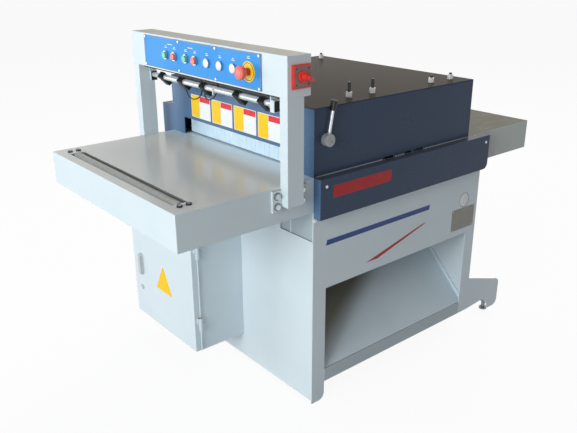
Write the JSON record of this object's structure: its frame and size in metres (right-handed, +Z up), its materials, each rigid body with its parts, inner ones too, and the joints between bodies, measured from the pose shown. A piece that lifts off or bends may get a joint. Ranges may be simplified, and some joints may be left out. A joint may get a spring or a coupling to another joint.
{
  "type": "multi rip saw",
  "caption": "Floor-standing multi rip saw with infeed table, control gantry with laser pointers, roller-fed hood over a lower arbor, side guards, outfeed table and electrical cabinet.",
  "frame": {"origin": "on the floor under the middle of the overall length and width", "axes": "+Y along the feed from infeed to outfeed, +X to the operator's right, +Z up"},
  "size_m": [0.952, 1.636, 1.184],
  "materials": {
    "white_paint": "gloss",
    "navy_paint": "satin",
    "chute_paint": "satin",
    "bright_steel": "brushed",
    "zinc": "polished",
    "blackened_steel": "satin",
    "motor_paint": "satin",
    "casting": "matte",
    "panel_blue": "satin",
    "black_plastic": "matte",
    "belt_rubber": "matte",
    "roller_rubber": "matte",
    "green_plastic": "gloss",
    "red_plastic": "gloss",
    "yellow_plastic": "gloss",
    "lens": "gloss"
  },
  "bodies": {
    "frame": {"base_sides": "white_paint", "base_ends": "white_paint", "inner_frame": "white_paint", "chip_chute": "chute_paint", "levelling_feet": "zinc", "bed_plate": "bright_steel", "infeed_table": "white_paint", "outfeed_table": "white_paint", "gantry_posts": "white_paint", "gantry_beam": "white_paint", "brackets": "white_paint", "fasteners": "zinc", "control_panel": "panel_blue", "button_bezels": "zinc", "switchgear": "black_plastic", "indicator_lamps": "lens", "stop_collar": "yellow_plastic", "isolator_plate": "red_plastic", "laser_rod": "zinc", "hood_walls": "navy_paint", "hood_top": "navy_paint", "side_cover": "navy_paint", "drive_guard": "navy_paint", "cabinet_box": "white_paint", "cabinet_hinges": "white_paint", "drive_motors": "motor_paint", "drive_belts": "belt_rubber", "bearing_units": "casting"},
    "door": {"cabinet_door": "white_paint"},
    "latch": {"door_handle": "zinc"},
    "idler": {"idler_roller": "zinc"},
    "feed_front": {"feed_roller_front": "bright_steel"},
    "feed_rear": {"feed_roller_rear": "bright_steel"},
    "gear_pulley": {"gearmotor_pulley": "blackened_steel"},
    "arbor": {"saw_arbor": "bright_steel", "saw_blades": "bright_steel"},
    "motor_rotor": {"motor_pulley": "blackened_steel"},
    "carriage_front": {"pressure_carriage_front": "blackened_steel"},
    "carriage_rear": {"pressure_carriage_rear": "blackened_steel"},
    "press_1": {"pressure_roller_1": "roller_rubber"},
    "press_2": {"pressure_roller_2": "roller_rubber"},
    "press_3": {"pressure_roller_3": "roller_rubber"},
    "press_4": {"pressure_roller_4": "roller_rubber"},
    "fingers": {"kickback_fingers": "bright_steel", "lift_lever": "zinc", "lever_knob": "black_plastic"},
    "saw_start": {"saw_start_button": "green_plastic"},
    "saw_stop": {"saw_stop_button": "red_plastic"},
    "feed_start": {"feed_start_button": "green_plastic"},
    "feed_stop": {"feed_stop_button": "red_plastic"},
    "stop_stem": {"stop_stem": "red_plastic"},
    "stop_head": {"stop_head": "red_plastic"},
    "isolator": {"isolator_handle": "red_plastic"},
    "laser_1": {"laser_1": "black_plastic"},
    "laser_2": {"laser_2": "black_plastic", "laser_lead_2": "belt_rubber"},
    "laser_3": {"laser_3": "black_plastic", "laser_lead_3": "belt_rubber"},
    "laser_4": {"laser_4": "black_plastic"},
    "laser_5": {"laser_5": "black_plastic"}
  },
  "joints": [
    {"name": "door_swing", "type": "hinge", "parent": "frame", "child": "door", "pos_m": [0.0235, -0.5285, 0.4], "axis": [0, 0, 1], "range_deg": [0, 110]},
    {"name": "latch_turn", "type": "hinge", "parent": "door", "child": "latch", "pos_m": [-0.35, -0.549, 0.3597], "axis": [0, -1, 0], "range_deg": [0, 90]},
    {"name": "idler_spin", "type": "hinge", "parent": "frame", "child": "idler", "pos_m": [0, -0.761, 0.7905], "axis": [1, 0, 0], "continuous": true},
    {"name": "feed_roller_front_spin", "type": "hinge", "parent": "frame", "child": "feed_front", "pos_m": [0, -0.14119, 0.7715], "axis": [1, 0, 0], "continuous": true},
    {"name": "feed_roller_rear_spin", "type": "hinge", "parent": "frame", "child": "feed_rear", "pos_m": [0, 0.36094, 0.7715], "axis": [1, 0, 0], "continuous": true},
    {"name": "gearmotor_spin", "type": "hinge", "parent": "frame", "child": "gear_pulley", "pos_m": [0, -0.10119, 0.33], "axis": [1, 0, 0], "continuous": true},
    {"name": "arbor_spin", "type": "hinge", "parent": "frame", "child": "arbor", "pos_m": [0, 0.10988, 0.715], "axis": [1, 0, 0], "continuous": true},
    {"name": "motor_spin", "type": "hinge", "parent": "frame", "child": "motor_rotor", "pos_m": [0, 0.10988, 0.23], "axis": [1, 0, 0], "continuous": true},
    {"name": "front_carriage_lift", "type": "slide", "parent": "frame", "child": "carriage_front", "axis": [0, 0, 1], "range_m": [0, 0.02], "stiffness_N_per_m": 3000},
    {"name": "rear_carriage_lift", "type": "slide", "parent": "frame", "child": "carriage_rear", "axis": [0, 0, 1], "range_m": [0, 0.02], "stiffness_N_per_m": 3000},
    {"name": "pressure_roller_1_spin", "type": "hinge", "parent": "carriage_front", "child": "press_1", "pos_m": [0, -0.14119, 0.857], "axis": [1, 0, 0], "continuous": true},
    {"name": "pressure_roller_2_spin", "type": "hinge", "parent": "carriage_front", "child": "press_2", "pos_m": [0, -0.03619, 0.857], "axis": [1, 0, 0], "continuous": true},
    {"name": "pressure_roller_3_spin", "type": "hinge", "parent": "carriage_rear", "child": "press_3", "pos_m": [0, 0.25594, 0.857], "axis": [1, 0, 0], "continuous": true},
    {"name": "pressure_roller_4_spin", "type": "hinge", "parent": "carriage_rear", "child": "press_4", "pos_m": [0, 0.36094, 0.857], "axis": [1, 0, 0], "continuous": true},
    {"name": "finger_lift", "type": "hinge", "parent": "frame", "child": "fingers", "pos_m": [0, -0.293, 0.922], "axis": [1, 0, 0], "range_deg": [0, 45]},
    {"name": "saw_start_press", "type": "slide", "parent": "frame", "child": "saw_start", "axis": [0, 1, 0], "range_m": [0, 0.004], "stiffness_N_per_m": 400, "springref_m": -0.001},
    {"name": "saw_stop_press", "type": "slide", "parent": "frame", "child": "saw_stop", "axis": [0, 1, 0], "range_m": [0, 0.004], "stiffness_N_per_m": 400, "springref_m": -0.001},
    {"name": "feed_start_press", "type": "slide", "parent": "frame", "child": "feed_start", "axis": [0, 1, 0], "range_m": [0, 0.004], "stiffness_N_per_m": 400, "springref_m": -0.001},
    {"name": "feed_stop_press", "type": "slide", "parent": "frame", "child": "feed_stop", "axis": [0, 1, 0], "range_m": [0, 0.004], "stiffness_N_per_m": 400, "springref_m": -0.001},
    {"name": "stop_press", "type": "slide", "parent": "frame", "child": "stop_stem", "axis": [0, 1, 0], "range_m": [0, 0.006]},
    {"name": "stop_twist", "type": "hinge", "parent": "stop_stem", "child": "stop_head", "pos_m": [0.26507, -0.5, 1.12388], "axis": [0, -1, 0], "range_deg": [-30, 0], "stiffness_Nm_per_rad": 0.2},
    {"name": "isolator_turn", "type": "hinge", "parent": "frame", "child": "isolator", "pos_m": [0.46, -0.422, 1.127], "axis": [1, 0, 0], "range_deg": [0, 90]},
    {"name": "laser_1_slide", "type": "slide", "parent": "frame", "child": "laser_1", "axis": [1, 0, 0], "range_m": [-0.02, 0.02]},
    {"name": "laser_2_slide", "type": "slide", "parent": "frame", "child": "laser_2", "axis": [1, 0, 0], "range_m": [-0.02, 0.02]},
    {"name": "laser_3_slide", "type": "slide", "parent": "frame", "child": "laser_3", "axis": [1, 0, 0], "range_m": [-0.02, 0.02]},
    {"name": "laser_4_slide", "type": "slide", "parent": "frame", "child": "laser_4", "axis": [1, 0, 0], "range_m": [-0.02, 0.02]},
    {"name": "laser_5_slide", "type": "slide", "parent": "frame", "child": "laser_5", "axis": [1, 0, 0], "range_m": [-0.02, 0.02]}
  ],
  "couplings": [
    {"joint": "feed_roller_rear_spin", "follows": "feed_roller_front_spin", "ratio": 1},
    {"joint": "gearmotor_spin", "follows": "feed_roller_front_spin", "ratio": 1},
    {"joint": "motor_spin", "follows": "arbor_spin", "ratio": 0.77077}
  ]
}
